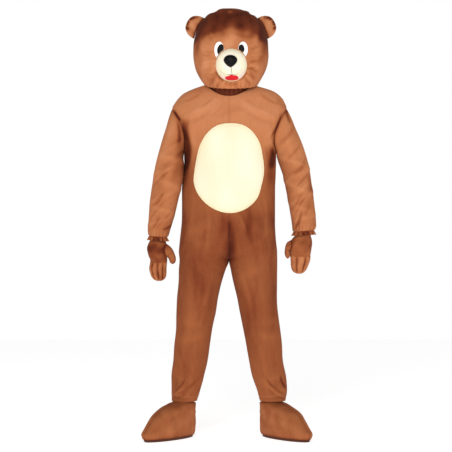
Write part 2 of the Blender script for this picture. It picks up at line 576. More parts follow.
FRONT_SHADE = metres((
    # places brushed dark or light, seen from the front: x, height, lean, half length, half width, change
    # under the arms and along the armholes
    (-176, 1250, 88, 100, 12, -0.65), (187, 1205, 88, 42, 12, -0.8), (182, 1160, 90, 70, 14, -0.22),
    (-186, 1160, 90, 70, 16, -0.22), (-192, 1322, -79, 40, 8, -0.4), (204, 1335, 64, 55, 6, -0.4),
    (-222, 1384, -55, 28, 6, -0.55), (-212, 1312, 94, 50, 8, -0.45),
    # inner side of the right sleeve, then the folds of both
    (-210, 1195, 80, 100, 24, -0.3), (-298, 1022, 51, 32, 6, -0.25), (-285, 1120, 75, 60, 16, -0.14),
    (-262, 1280, 72, 80, 14, 0.08), (-262, 905, 30, 22, 6, -0.35), (-310, 925, 60, 30, 7, -0.2),
    (252, 1380, -73, 30, 6, -0.45), (222, 1438, -50, 30, 12, -0.18), (300, 1152, 41, 36, 9, -0.24),
    (350, 1090, -78, 60, 12, -0.25), (316, 1072, 41, 34, 8, 0.14), (292, 1010, 58, 40, 7, -0.2),
    (335, 985, 64, 34, 8, -0.16), (300, 930, 66, 30, 5, -0.35), (262, 1240, -72, 80, 12, 0.06),
    # drapes below the patch, the crotch and the legs
    (14, 850, 92, 80, 14, -0.2), (56, 925, -72, 34, 6, 0.12), (86, 930, 86, 60, 12, -0.14),
    (158, 955, 92, 90, 8, 0.1), (-86, 900, 88, 90, 10, 0.09), (-24, 920, 90, 50, 14, -0.1),
    (-192, 900, 90, 90, 10, -0.1), (192, 870, 90, 100, 8, -0.1), (-84, 570, 78, 110, 16, -0.08),
    (73.5, 560, 104, 120, 16, -0.08), (-140, 680, 92, 120, 12, -0.06), (120, 700, 88, 120, 12, -0.06),
    (0, 800, 90, 50, 20, -0.14), (0, 1400, 4, 50, 20, -0.08), (-160, 1455, 24, 40, 6, -0.15),
    (170, 1450, -30, 40, 6, -0.18), (-100, 1430, 35, 35, 4, -0.1), (110, 1425, -35, 35, 4, -0.1),
    (-50, 1400, 40, 30, 3, -0.08), (60, 1400, -40, 30, 3, -0.08), (-205, 228, 55, 36, 5, -0.2),
    (-170, 222, 40, 45, 6, -0.14), (190, 222, -45, 50, 5, -0.2), (230, 238, -63, 30, 5, -0.26),
), 2, 5)


def body_panel(name, side, face):
    """One quarter of the suit, from the ankle hem to the shoulder seam."""
    s = steps_across(0, 1, BODY_COLUMNS)
    low = curve(numbered(LOWER_ROWS), steps_down(0, LAST_LOWER, BODY_LOWER))
    lower = body_point(side, face, mix(low[0], low[1], s * s), s * low[2], low[2])
    arm_turn, centre, neck_turn = curve(numbered(UPPER_ROWS), np.linspace(0, LAST_UPPER, BODY_UPPER)[1:])
    outer_height, outer_turn = armhole(arm_turn)
    neck_height, neck_section = neckline(side, neck_turn)
    inner_height = centre + neck_height - NECK_FRONT
    height = mix(outer_height[:, None], inner_height[:, None], s)
    upper = body_point(side, face, height, mix(outer_turn[:, None], neck_section[:, None], s))
    grid = np.concatenate([lower, upper])
    out = normals(grid)
    from_side, from_inner, from_hem, from_shoulder = edge_distances(grid)
    hold = ease(from_side / 0.03) * ease(from_inner / 0.03)
    hold = hold * ease(from_hem / 0.02) * ease(from_shoulder / 0.02)
    x, z = grid[..., 0], grid[..., 2]
    lift = ridges(FOLDS[name], x, z) + creases_at(face, x, z)
    uneven = swells(11, grid, 0.11, (1, 1, 0.35)) * 0.0011 + swells(12, grid, 0.045, (1, 1, 0.4)) * 0.0004
    last = BODY_LOWER - 1
    crotch = int(CROTCH_ROW / LAST_LOWER * last)
    out[:BODY_LOWER, 0] = in_plane(out[:BODY_LOWER, 0], (0, 1, 0))
    out[:crotch, -1] = in_plane(out[:crotch, -1], (0, 1, 0))
    turned = ease((np.arange(crotch, len(grid)) - crotch) / 6.0)[:, None]
    out[crotch:, -1] = in_plane(out[crotch:, -1] * turned + np.array((0, 0, -1.0)) * (1 - turned), (1, 0, 0))
    out[last:, 0] = armhole_outward(side, face, np.concatenate([[180.0], arm_turn]), "body")
    neck = np.flatnonzero(neck_turn > 0) + BODY_LOWER
    around = grid[neck, -1]
    out[neck, -1] = around * (1, 1, 0) / np.linalg.norm(around[:, :2], axis=1, keepdims=True) + (0, 0, 0.4)
    out[-1, :] = mix(out[-2, :], np.array((0, 0, 1.0)), 0.8)
    centre_depth = np.where(z[:, -1:] > FAINT_SEAM_FROM, FAINT_SEAM, 1.0)
    dips = groove(from_side) + groove(from_inner) * centre_depth + groove(from_shoulder)
    hem_stitch = groove(np.abs(from_hem - HEM_STITCH), 0.0009, 0.003) * (from_hem < 0.05)
    base = grid + out * (lift * hold + uneven * ease(from_hem / 0.01) + dips + hem_stitch)[..., None]
    shift = np.array((side * SEAM / 2, face * SEAM / 2, 0))
    nap = curve(SUIT_NAP, z)[0] + leaning(lift * hold, 12, 24) + 0.05 * swells(21, grid, 0.16, (1, 1, 0.5))
    nap = nap + (ridges(FRONT_SHADE, x, z) if face < 0 else 0.7 * ridges(FRONT_SHADE[:4], x, z))
    nap = nap - (0.08 + 0.26 * ease((z - 0.95) / 0.10)) * fade(from_side, 0.010)
    nap = nap - 0.20 * fade(from_inner, 0.006) * centre_depth
    plush_wall("suit_" + name, base, out, CLOTH, nap, shift)
    return base, out


# Sleeves and thumbs: a loop on a seam, then oval rings between an outer and an inner outline

SLEEVE = metres({
    # outer x and height, inner x and height, middle y, half depth
    "left": (
        (249.5, 1417, 203, 1240, 0, 73), (269, 1380, 205, 1220, -2, 72), (286, 1338, 208, 1205, -4, 70),
        (307, 1288, 213, 1187, -6, 67), (329, 1225, 222, 1163, -9, 64), (346, 1158, 236, 1120, -13, 61),
        (358, 1085, 248, 1058, -17, 58), (366, 1015, 258, 995, -21, 55), (372, 955, 268, 940, -25, 53),
        (373, 918, 273.5, 908, -27, 50), (365, 893, 277.5, 888, -28, 44),
    ),
    "right": (
        (-245.5, 1417, -193, 1240, 0, 73), (-259, 1380, -195, 1220, -8, 72),
        (-271, 1338, -195.5, 1205, -20, 68), (-287, 1288, -194, 1185, -33, 64),
        (-303, 1225, -193, 1155, -44, 62), (-320, 1155, -198, 1110, -48, 61),
        (-332, 1080, -210, 1055, -46, 59), (-340.5, 1010, -225, 992, -42, 56),
        (-345.5, 945, -242, 930, -38, 53), (-348, 900, -256, 890, -35, 47),
        (-343, 870, -266.5, 864, -34, 41),
    ),
})

SLEEVE_FOLDS = metres({
    # the largest folds, as in the solids: height, turn round the arm, lean, half length in turn,
    # half width, height of the fold
    "left": (
        (1190, 100, 0.3, 70, 14, 5), (1145, 60, -0.3, 60, 12, 4), (1085, 120, 0.4, 70, 14, 5),
        (1040, 70, -0.4, 60, 12, 5), (995, 110, 0.3, 70, 12, 4), (950, 80, -0.2, 70, 11, 4),
        (1100, 270, 0.3, 70, 16, 5), (1010, 260, -0.3, 70, 15, 4),
    ),
    "right": (
        (1200, 100, -0.3, 70, 14, 5), (1150, 70, 0.3, 60, 12, 4), (1090, 110, -0.4, 70, 14, 5),
        (1035, 80, 0.4, 60, 12, 5), (980, 100, -0.3, 70, 12, 4), (930, 80, 0.2, 70, 11, 4),
        (1090, 265, -0.3, 70, 16, 5), (1000, 275, 0.3, 70, 15, 4),
    ),
}, 1, 3)

SLEEVE_CREASES = metres({
    # finer creases: height, turn round the arm, lean, half length in turn, half width, rise
    "left": (
        (1300, 70, -0.9, 50, 10, -2.4), (1262, 100, -0.8, 50, 9, 2.2), (1225, 80, -0.8, 46, 8, -2.4),
        (1165, 70, -0.9, 44, 7, -3), (1140, 100, -0.8, 50, 7, 3), (1100, 80, -0.9, 44, 6, -3),
        (1070, 110, -0.8, 40, 6, 2.6), (1045, 60, -1, 36, 6, -2.6), (1010, 95, -1.2, 40, 6, -2.8),
        (985, 70, -1.2, 34, 6, 2.6), (955, 110, -1.4, 30, 5, -3), (935, 60, -1.4, 28, 5, 2.4),
        (1180, 260, -0.6, 50, 10, 3), (1060, 275, 0.6, 60, 9, -3), (965, 265, -0.4, 50, 9, 2.8),
        (1290, 250, 0.6, 50, 12, 2.6),
    ),
    "right": (
        (1300, 130, 0.9, 50, 10, -2.2), (1255, 90, 0.7, 50, 10, 2), (1205, 110, 0.8, 46, 9, -2.2),
        (1150, 80, 0.9, 44, 8, 2.6), (1115, 60, 1, 36, 7, -3), (1075, 100, 1, 44, 7, 2.6),
        (1040, 70, 1.1, 40, 6, -3.2), (1005, 110, 1, 36, 6, 2.4), (975, 60, 1.2, 34, 6, -2.8),
        (940, 110, 1.2, 34, 5, -2.8), (915, 80, 1.4, 30, 5, 2.6), (1180, 255, 0.6, 50, 10, 3),
        (1050, 270, -0.6, 60, 9, -3), (950, 265, 0.4, 50, 9, 2.8), (1290, 260, 0.6, 50, 12, 2.6),
    ),
}, 1, 3)
SLEEVE_ROWS = 150
SLEEVE_COLUMNS = 112
GATHER_REACH = 0.030


def oval(table, at, turn):
    """Point of a tube's outline ring: turn 0 outer, 90 front, 180 inner."""
    ox, oz, ix, iz, y, depth = curve(numbered(table), at)
    c = cos(turn)
    return places((ox + ix) / 2 + (ox - ix) / 2 * c, y - depth * sin(turn), (oz + iz) / 2 + (oz - iz) / 2 * c)


def gathers(turn, seed, count=17):
    """Uneven puckers from 0 to 1 round a gathered edge, by the turn round it in degrees."""
    random = np.random.default_rng(seed)
    wave = np.zeros(np.shape(turn))
    for n, share in ((count, 0.6), (count + 4, 0.3), (2 * count + 3, 0.2), (5, 0.25)):
        wave = wave + share * np.cos(np.radians(n * turn) + random.uniform(0, 6.28))
    return np.clip(0.5 + wave / 2, 0.0, 1.2)


def sleeve(name, side, key):
    table = SLEEVE[key]
    turn = np.arange(SLEEVE_COLUMNS) * 360.0 / SLEEVE_COLUMNS
    short = np.where(turn <= 180, turn, 360 - turn)
    height, section = armhole(short)
    front, back = (body_point(side, f, height, section) for f in (-1, 1))
    seam = np.where((turn <= 180)[:, None], front, back)
    front, back = (armhole_outward(side, f, short, "sleeve") for f in (-1, 1))
    out_seam = np.where((turn <= 180)[:, None], front, back)
    at = steps_down(0, len(table) - 1, SLEEVE_ROWS)
    grid = oval(table, at, turn[None, :])
    grid = grid + (np.maximum(0.0, 1 - at / 2.5) ** 1.5)[..., None] * (seam - oval(table, 0.0, turn))
    grid[0] += (side * 2 * SEAM, 0, 0)
    out = normals(grid, loop=True)
    _, _, from_top, from_cuff = edge_distances(grid)
    z = grid[..., 2]
    lift = np.zeros(z.shape)
    for fold_z, middle, lean, length, width, rise in SLEEVE_FOLDS[key] + SLEEVE_CREASES[key]:
        apart = (turn[None, :] - middle + 180) % 360 - 180
        across = z - fold_z - lean * apart
        lift = lift + rise * np.exp(-(across / width) ** 2 - (apart / length) ** 4)
    hold = ease(from_top / 0.035) * ease(from_cuff / 0.022)
    uneven = swells(31 + side, grid, 0.09, (1, 1, 0.5)) * 0.0012
    uneven = uneven * ease(from_top / 0.02) * ease(from_cuff / 0.02)
    pucker = gathers(turn[None, :], 41 + side) * fade(from_cuff, GATHER_REACH, 1.5)
    flare = 0.0045 * pucker * ease(from_cuff / 0.006)
    cap = gathers(turn[None, :], 51 + side, 9) * fade(from_top, 0.030, 1.5) * ease(from_top / 0.008)
    puff = 0.0016 * cap * np.clip(cos(turn), 0, 1)[None, :]
    out[0] = out_seam
    base = grid + out * (lift * hold + uneven + flare + puff + groove(from_top))[..., None]
    nap = 0.76 - 0.10 * ease((1.25 - z) / 0.35) + leaning(lift * hold, 18, 64)
    nap = nap + 0.40 * (pucker - 0.5) * fade(from_cuff, 0.02)
    seen = np.clip(0.5 + 8 * sin(turn), 0, 1)[None, :]
    nap = nap + seen * ridges(FRONT_SHADE, grid[..., 0], z)
    nap = nap + 0.06 * swells(33 + side, grid, 0.14) - 0.55 * fade(from_top, 0.006)
    plush_wall(name, base, out, CLOTH, nap, loop=True)


CUFF_ROWS = metres((
    # share of the way down, drop below the elastic, spread, ruffle wave height
    (0, 0, 1, 0.7), (0.5, 9, 1.05, 1.9), (1, 18, 1.1, 3),
), 0, 2)
CUFF_WAVES = 13
CUFF_STEPS = 14


def cuff(name, key):
    """Gathered end of the sleeve below its elastic, with soft ruffle waves."""
    ox, oz, ix, iz, y, half_depth = SLEEVE[key][-1]
    half_width = (ox - ix) / 2
    columns = CUFF_WAVES * CUFF_STEPS
    turn = np.arange(columns)[None, :] * 360.0 / columns
    drop, spread, wave = curve(CUFF_ROWS, steps_down(0, 1, CUFF_STEPS))
    unequal = 1 + 0.35 * sin(3 * turn) + 0.25 * sin(7 * turn + 50)
    ruffle = wave * (1 + cos(CUFF_WAVES * turn + 28.6)) * unequal + wave * 0.25 * sin(29 * turn + 40)
    c = cos(turn)
    x = (ox + ix) / 2 + (half_width * spread + np.sign(half_width) * ruffle) * c
    z = (oz + iz) / 2 + (oz - iz) / 2 * c - drop - SEAM
    grid = places(x, y - (half_depth * spread + ruffle) * sin(turn), z)
    out = normals(grid, loop=True)
    out[..., 2] = 0
    nap = 0.32 + 70 * (ruffle - wave) + 0.12 * sin(3 * turn + 20)
    plush_wall(name, grid, out, CLOTH, nap, loop=True)


# Head: sections from the neck opening to the crown

HEAD_X = 0.008
HEAD_Y = -0.008
HEAD = metres((
    # station, height, half width, front, back
    (0, 1521.7, 113, 118, 113), (1, 1544, 130, 133, 128), (2, 1574, 147.5, 147, 145),
    (3, 1610, 158, 156, 158), (4, 1655, 162.5, 160, 164), (5, 1700, 161, 156, 163),
    (6, 1740, 153.5, 146, 156), (7, 1775, 139, 130, 142), (8, 1805, 116.5, 108, 119), (9, 1827, 90, 84, 92),
    (10, 1841, 60, 57, 61), (11, 1848, 30, 29, 30), (12, 1850, 0.6, 0.6, 0.6),
), 0)
HEAD_SQUARE = 2.15
CHIN_DROP = 0.027
NAPE_DROP = 0.020
CROWN_EDGE = 1.849
CROWN_SEAM_FROM = 1.790
CROWN_SPOT = (0.004, 1.826)
HEAD_ROWS = 112
HEAD_COLUMNS = 130

HEAD_CREASES = metres((
    # x, height, lean, half length, half width, rise
    # pulls round the muzzle, deepest at its lower right
    (-66, 1541, 42, 22, 5, -4.6), (-78, 1552, 30, 20, 5, 3), (-56, 1524, 58, 18, 5, 3.4),
    (-46, 1516, 66, 18, 4.5, -3.2), (-92, 1578, 14, 22, 5, -2.4), (-98, 1606, 4, 22, 6, 2.2),
    (-100, 1636, -14, 16, 4, -3), (-104, 1660, -26, 22, 5.5, 2.2), (-96, 1690, -38, 24, 6, -1.8),
    (-70, 1716, -56, 24, 7, 1.8), (114, 1667, 27, 22, 4.5, -3.6), (108, 1684, 34, 22, 5, 3),
    (120, 1640, 14, 22, 5, 2.6), (112, 1612, 4, 20, 4.5, -2.6), (110, 1590, -6, 22, 5, 3.4),
    (106, 1574, -22, 20, 4.5, -3.6), (100, 1552, -58, 20, 4.5, -3.4), (86, 1540, -46, 20, 5, 3.2),
    (78, 1526, -48, 18, 4.5, -3), (60, 1516, -62, 18, 5, 3), (36, 1506, -80, 16, 4, -2.6),
    (14, 1508, 90, 16, 5, 2.4), (-18, 1508, 80, 16, 4.5, -2.4),
    # seam swellings of the crown
    (-62, 1838, 28, 12, 5, -3.6), (-90, 1824, 40, 14, 8, 2.2), (-30, 1848, 10, 20, 8, 2),
    (96, 1826, -44, 10, 6, -3), (78, 1838, -30, 12, 7, 2.4), (126, 1795, -50, 12, 7, -2.2),
), 2)

HEAD_SHADE = metres((
    # places brushed dark or light: x, height, lean, half length, half width, change
    (152, 1690, 92, 60, 18, -0.3), (124, 1695, 60, 30, 12, -0.22), (131, 1616, 60, 20, 10, -0.15),
    (-140, 1690, 95, 45, 12, -0.18), (-40, 1544, -50, 24, 7, -0.45), (62, 1546, 50, 22, 6, -0.28),
    (-62, 1560, 35, 20, 4, -0.25), (-70, 1526, 46, 20, 4, -0.22), (92, 1580, 6, 20, 4, -0.22),
    (96, 1606, 14, 18, 4, -0.2), (10, 1512, 0, 30, 5, -0.16), (-85, 1648, -10, 18, 4, -0.16),
    (100, 1655, 20, 26, 10, 0.08), (120, 1600, 90, 60, 26, -0.1), (-100, 1560, 40, 40, 20, -0.08),
    (0, 1738, 0, 30, 12, 0.16), (50, 1716, -12, 40, 7, -0.12), (-60, 1722, 16, 36, 7, 0.08),
), 2, 5)

HEAD_NAP = metres((
    # height, lean of the pile: dark over the forehead and the crown, light on the face
    (1500, 0.7), (1540, 0.78), (1600, 0.84), (1680, 0.84), (1712, 0.74), (1735, 0.46), (1755, 0.2),
    (1780, 0.08), (1810, 0.06), (1838, 0.16), (1850, 0.4),
), 1)


def head_point(at, turn):
    """Point of the head's outside. Turn 0 is the wearer's left, 90 the front, 270 the back."""
    height, half, front, back = curve(HEAD, at)
    s = sin(turn)
    depth = np.where(s > 0, front, back)
    drop = np.where(s > 0, CHIN_DROP * np.abs(s) ** 0.8, NAPE_DROP * np.abs(s) ** 1.5)
    drop = drop * np.maximum(0.0, 1 - np.asarray(at) / 2.0) ** 1.5
    power = 2 / HEAD_SQUARE
    return places(HEAD_X + half * bend(cos(turn), power), HEAD_Y - depth * bend(s, power), height - drop)


def seam_outward(line):
    """Outward direction along a seam that lies in a plane facing forward."""
    along = np.gradient(line, axis=0)
    out = places(along[:, 2], 0.0, -along[:, 0])
    out /= np.linalg.norm(out, axis=1, keepdims=True)
    return out * np.where(np.sum(out * (line - line.mean(axis=0)), axis=1, keepdims=True) < 0, -1.0, 1.0)


def head_half(name, face):
    turn = steps_across(0, 180, HEAD_COLUMNS)
    if face > 0:
        turn = 360 - turn
    at = steps_down(0, HEAD[-1][0], HEAD_ROWS)
    grid = head_point(at, turn)
    out = normals(grid)
    for edge in (0, -1):
        out[:, edge] = seam_outward(grid[:, edge])
    out[-1] = (0, 0, 1)
    x, z = grid[..., 0], grid[..., 2]
    from_left, from_right, from_hem, _ = edge_distances(grid)
    from_seam = np.minimum(from_left, from_right)
    crown = ease((CROWN_EDGE - z) / 0.006)
    lift = ridges(HEAD_CREASES, x, z)
    if face > 0:
        lift = ridges(HEAD_CREASES[-6:], x, z) + 0.6 * ridges(HEAD_CREASES[:9], -x, z + 0.02)
    puckers = gathers(turn, 61, 31) - 0.5
    hem = puckers * fade(from_hem, 0.016, 1.3) * ease(from_seam / 0.01)
    away = np.hypot((x - MUZZLE[0]) / MUZZLE[2], (z - MUZZLE[1]) / MUZZLE[3])
    ray = np.degrees(np.arctan2(z - MUZZLE[1], x - MUZZLE[0]))
    rays = (gathers(ray, 71, 23) - 0.5) * fade(np.maximum(away - 1.0, 0), 0.40) * (face < 0)
    rays = rays * np.where(z < MUZZLE[1] + 0.02, 1.0, 0.35)
    uneven = swells(62, grid, 0.16) * 0.0016 + swells(63, grid, 0.07) * 0.0007
    held = ease(from_seam / 0.012)
    lift = lift + 0.0022 * rays * held + uneven * np.maximum(held, 0.5)
    centre = groove(np.abs(x - HEAD_X), 0.0010, 0.003) * ease((z - CROWN_SEAM_FROM) / 0.02)
    base = grid + out * ((lift + centre) * crown + 0.0030 * hem + groove(from_seam))[..., None]
    base[..., 2] += 0.0034 * puckers * fade(from_hem, 0.008) * held
    brow = 0.028 * ((x - HEAD_X) / 0.14) ** 2
    brow = brow + 0.008 * swells(64, grid, 0.09) + 0.006 * swells(65, grid, 0.04)
    nap = curve(HEAD_NAP, z + brow)[0]
    aside = np.abs(x - HEAD_X)
    nap = nap - 0.20 * ease((aside - 0.105) / 0.045) * ease((z - 1.53) / 0.04)
    nap = nap + leaning(lift, 22, 46) + 0.12 * rays + 0.30 * hem - 0.25 * fade(from_seam, 0.006)
    nap = nap + ridges(HEAD_SHADE, x, z) * (face < 0)
    by_ear = ease((z - 1.715) / 0.015) * ease((1.825 - z) / 0.015)
    nap = nap - 0.45 * by_ear * fade(from_seam, 0.014, 2)
    nap = nap + 0.07 * swells(66, grid, 0.06)
    seam_spot = fade(x - CROWN_SPOT[0], 0.012, 2) * fade(z - CROWN_SPOT[1], 0.008, 2)
    nap = nap + 0.35 * seam_spot * (face < 0)
    shift = np.array((0, face * SEAM / 2, 0))
    piece = shell(name, base + shift, base - out * FOAM + shift, BROWN_VELOUR, nap)
    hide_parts(name)


def head_front_y(x, height):
    """Front of the head at places seen from the front."""
    x, height = np.broadcast_arrays(x, height)
    low = np.zeros(x.shape)
    high = np.full(x.shape, float(HEAD[-1][0]))
    for _ in range(28):
        middle = (low + high) / 2
        share = np.minimum(np.abs(x - HEAD_X) / curve(HEAD, middle)[1], 0.999)
        point = head_point(middle, np.degrees(np.arccos(share ** (HEAD_SQUARE / 2))))
        below = point[..., 2] < height
        low = np.where(below, middle, low)
        high = np.where(below, high, middle)
    return point[..., 1]


# Ears: a puffed front and back that meet at the rim, set on the head's side seam

EAR_REACH = 0.052
EAR_HALF = 0.051
EAR_PUFF = 0.013
EAR_STATION = 6.80
EAR_SPREAD = 1.32
EAR_ROWS = 36
EAR_COLUMNS = 60


def ear(name, cloth, side, face):
    turn_here = 0.0 if side > 0 else 180.0
    root, upper, lower = head_point(EAR_STATION + np.array((0, EAR_SPREAD, -EAR_SPREAD)), turn_here)
    along = (upper - lower) / np.linalg.norm(upper - lower)
    outward = np.array((side * along[2], 0.0, -side * along[0]))
    outward = outward if outward[0] * side > 0 else -outward
    t = steps_down(0, 1, EAR_ROWS) * 90
    s = sin((steps_across(0, 1, EAR_COLUMNS) - 0.5) * 180)
    spread = np.maximum(np.maximum(cos(t), 0.0) ** 0.8, 0.06)
    height = EAR_REACH * sin(t)
    round_rim = np.degrees(np.arctan2(sin(t), spread * s))
    inset = EAR_HALF * (1 - np.hypot(spread * s, sin(t)) / np.hypot(spread, sin(t)))
    puckers = gathers(round_rim * 2, 81 + side, 24) - 0.5
    rim = fade(inset, 0.006, 1.3) * ease(t / 15)
    stretch = 1 + 0.012 * puckers * rim
    on_base = head_point(EAR_STATION + EAR_SPREAD * s, turn_here) + outward * 0.0006
    tip = root + along * (EAR_HALF * spread * s * stretch)[..., None]
    tip = tip + outward * (height * stretch)[..., None]
    blend = np.minimum(1.0, t / 90 * 1.6)[..., None]
    middle = on_base * (1 - blend) + tip * blend + outward * ((1 - blend[..., 0]) * height * 0.6)[..., None]
    puff = EAR_PUFF * np.sqrt(1 - s * s) * np.maximum(cos(t), 0) ** 0.5 + 0.0012
    dish = 0.0016 * fade(inset - 0.022, 0.010, 2) * (face < 0)
    puff = puff - dish + 0.0012 * puckers * rim * (puff / EAR_PUFF) ** 0.5
    puff = puff + 0.0005 * swells(83 + side, middle, 0.03) * (puff / EAR_PUFF)
    front = middle + places(0, face * puff, 0)
    dashes = ease((round_rim - 28) / 18) * ease((142 - round_rim) / 22)
    dashes = dashes * (0.70 + 0.30 * sin(round_rim * 17 + 40) * sin(round_rim * 5 + 70))
    dark_rim = dashes * fade(inset - 0.0062, 0.0066, 2)
    if face < 0:
        nap = 0.60 + 0.10 * swells(85 + side, front, 0.04) - 0.95 * dark_rim - 0.70 * fade(t, 11, 2)
    else:
        nap = 0.50 + 0.12 * swells(85 + side, front, 0.05) - 0.25 * rim
    shift = np.array((0, face * SEAM / 2, 0))
    piece = shell(name, front + shift, middle + shift, cloth, nap)
    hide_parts(name)


# Pads: pieces that lie on another piece, on a round grid without a centre point

def disc(size):
    """Points of the unit disc from a square grid, closer together near the rim."""
    side = np.linspace(-1, 1, size)
    u, v = np.meshgrid(side, side)
    a, b = u * np.sqrt(1 - v * v / 2), v * np.sqrt(1 - u * u / 2)
    r = np.maximum(np.hypot(a, b), 1e-9)
    drawn = sin(np.minimum(r, 1.0) * 90) ** 0.8 / r * np.minimum(r * 8, 1.0) ** 0.2
    return a * drawn, b * drawn


def pad(name, cloth, outline, support, gap, thick, dome, size, nap=0.7, roll=0.10, relief=None):
    """A piece on a support: its back follows it, its face rises over the middle and its rim is rolled."""
    a, b = disc(size)
    x, height = outline(a, b)
    point, out = support(x, height)
    r = np.minimum(np.hypot(a, b), 1.0)
    rise = thick + dome * (1 - r * r) ** 0.6
    if relief is not None:
        rise = rise + relief(x, height, r)
    near_rim = np.clip((r - 1 + roll) / roll, 0, 1)
    rise = rise * (0.30 + 0.70 * np.sqrt(1 - near_rim ** 2))
    face = point + out * (gap + rise)[..., None]
    piece = shell(name, face, point + out * gap, cloth, nap if np.isscalar(nap) else nap(x, height, r))
    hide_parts(name)
    return piece, face


def ellipse(x, height, half_width, half_height, lean=0.0):
    def place(a, b):
        a, b = a * half_width, b * half_height
        return x + a * cos(lean) - b * sin(lean), height + a * sin(lean) + b * cos(lean)
    return place


def above_muzzle(place):
    """An outline whose lower edge stops short of the muzzle."""
    def trimmed(a, b):
        at_x, at_z = place(a, b)
        edge = -np.sqrt(np.maximum(1 - a * a, 1e-6))
        x0, z0, half_width, tall = MUZZLE
        share = np.minimum(np.abs(at_x - x0) / (half_width * 1.03), 1.0)
        top = z0 + tall * 1.03 * np.sqrt(1 - share * share) + 0.002
        lowest = place(a, edge)[1]
        level = place(a, 0)[1]
        moved = level + (np.maximum(lowest, top) - level) * b / edge
        return at_x, np.where((b >= 0) | (lowest >= top), at_z, moved)
    return trimmed


def facing(front_y):
    """Support with the outward direction taken from the surface round the place."""
    def support(x, height):
        step = 0.004
        dx = (front_y(x + step, height) - front_y(x - step, height)) / (2 * step)
        dz = (front_y(x, height + step) - front_y(x, height - step)) / (2 * step)
        out = places(dx, -1.0, dz)
        return places(x, front_y(x, height), height), out / np.linalg.norm(out, axis=-1, keepdims=True)
    return support


def straight(front_y):
    """Support that is left straight forward."""
    def support(x, height):
        return places(x, front_y(x, height), height), np.broadcast_to((0.0, -1.0, 0.0), np.shape(x) + (3,))
    return support


MUZZLE = (0.0097, 1.5919, 0.0660, 0.0680)
MUZZLE_RISE = 0.050
MUZZLE_EDGE = 0.006
EYE = {
    # x, height, half width, half height, lean
    "left": (0.0578, 1.6561, 0.0205, 0.0343, -3),
    "right": (-0.0409, 1.6533, 0.0207, 0.0370, 3),
}
PUPIL = {
    "left": (0.0512, 1.6600, 0.0120, 0.0175, 4),
    "right": (-0.0354, 1.6565, 0.0130, 0.0225, -12),
}
NOSE = (0.0060, 1.6030, 0.0330, 0.0250)
MOUTH = (0.0115, 1.5360, 0.0285, 0.0098)
PAD_GAP = 0.0008
FELT = 0.003
MUZZLE_GRID = 80
NOSE_GRID = 44
EYE_GRID = 44
PUPIL_GRID = 36
MOUTH_GRID = 36
LIP_DEPTH = 0.003
PHILTRUM = ((0.0084, 1.5790), (0.0096, 1.5680), (0.0108, 1.5560), (0.0112, 1.5500))
SMILE = metres((
    (-38.5, 1569), (-34, 1562), (-27, 1556), (-18, 1552), (-6, 1549.5), (11, 1548.5), (26, 1550),
    (38, 1555), (47, 1562), (54, 1572),
))


def muzzle_y(x, height):
    """Front of the muzzle, a soft dome on the head."""
    x0, z0, half_width, half_height = MUZZLE
    r = np.minimum(np.hypot((x - x0) / half_width, (height - z0) / half_height), 1.0)
    return head_front_y(x, height) - PAD_GAP - MUZZLE_EDGE - MUZZLE_RISE * (1 - r * r) ** 0.6


def nose_outline(a, b):
    """Rounded triangle with its point down."""
    x0, z0, half_width, half_height = NOSE
    width = half_width * (0.78 + 0.30 * b - 0.10 * b * b)
    return x0 + a * width / np.maximum(0.6, 1 - 0.05 * b), z0 + half_height * (b - 0.12 * a * a)


def mouth_outline(a, b):
    """Flat oval with a bow in its upper edge."""
    x0, z0, half_width, half_height = MOUTH
    bow = np.maximum(b, 0) * (0.0012 * np.cos(a * 7.5 + 0.6) + 0.0018 * a)
    return x0 + a * half_width, z0 + b * half_height + bow


def on_muzzle(line, above, steps=60):
    """A smooth line laid on the muzzle through points seen from the front."""
    keys = [(n,) + tuple(point) for n, point in enumerate(line)]
    x, height = curve(keys, np.linspace(0, len(line) - 1, steps))
    return places(x, muzzle_y(x, height) - above, height)


def lip(name, start, end):
    """Pale sliver along the rim of the muzzle, from under the tongue to a point at the mouth's corner."""
    way = steps_down(0, 1, 40)
    beside = steps_across(-1, 1, 12)
    turn = mix(start, end, way)
    r = 0.925 + 0.060 * beside * np.sqrt(np.maximum(1 - way ** 2, 0.0))
    x = MUZZLE[0] + MUZZLE[2] * r * cos(turn)
    height = MUZZLE[1] + MUZZLE[3] * r * sin(turn)
    rise = 0.0016 + 0.0012 * np.sqrt(1 - beside ** 2)
    back = muzzle_y(x, height)
    face = places(x, back - rise, height)
    shell(name, face, places(x, back + LIP_DEPTH, height), PINK_FELT, 0.5)


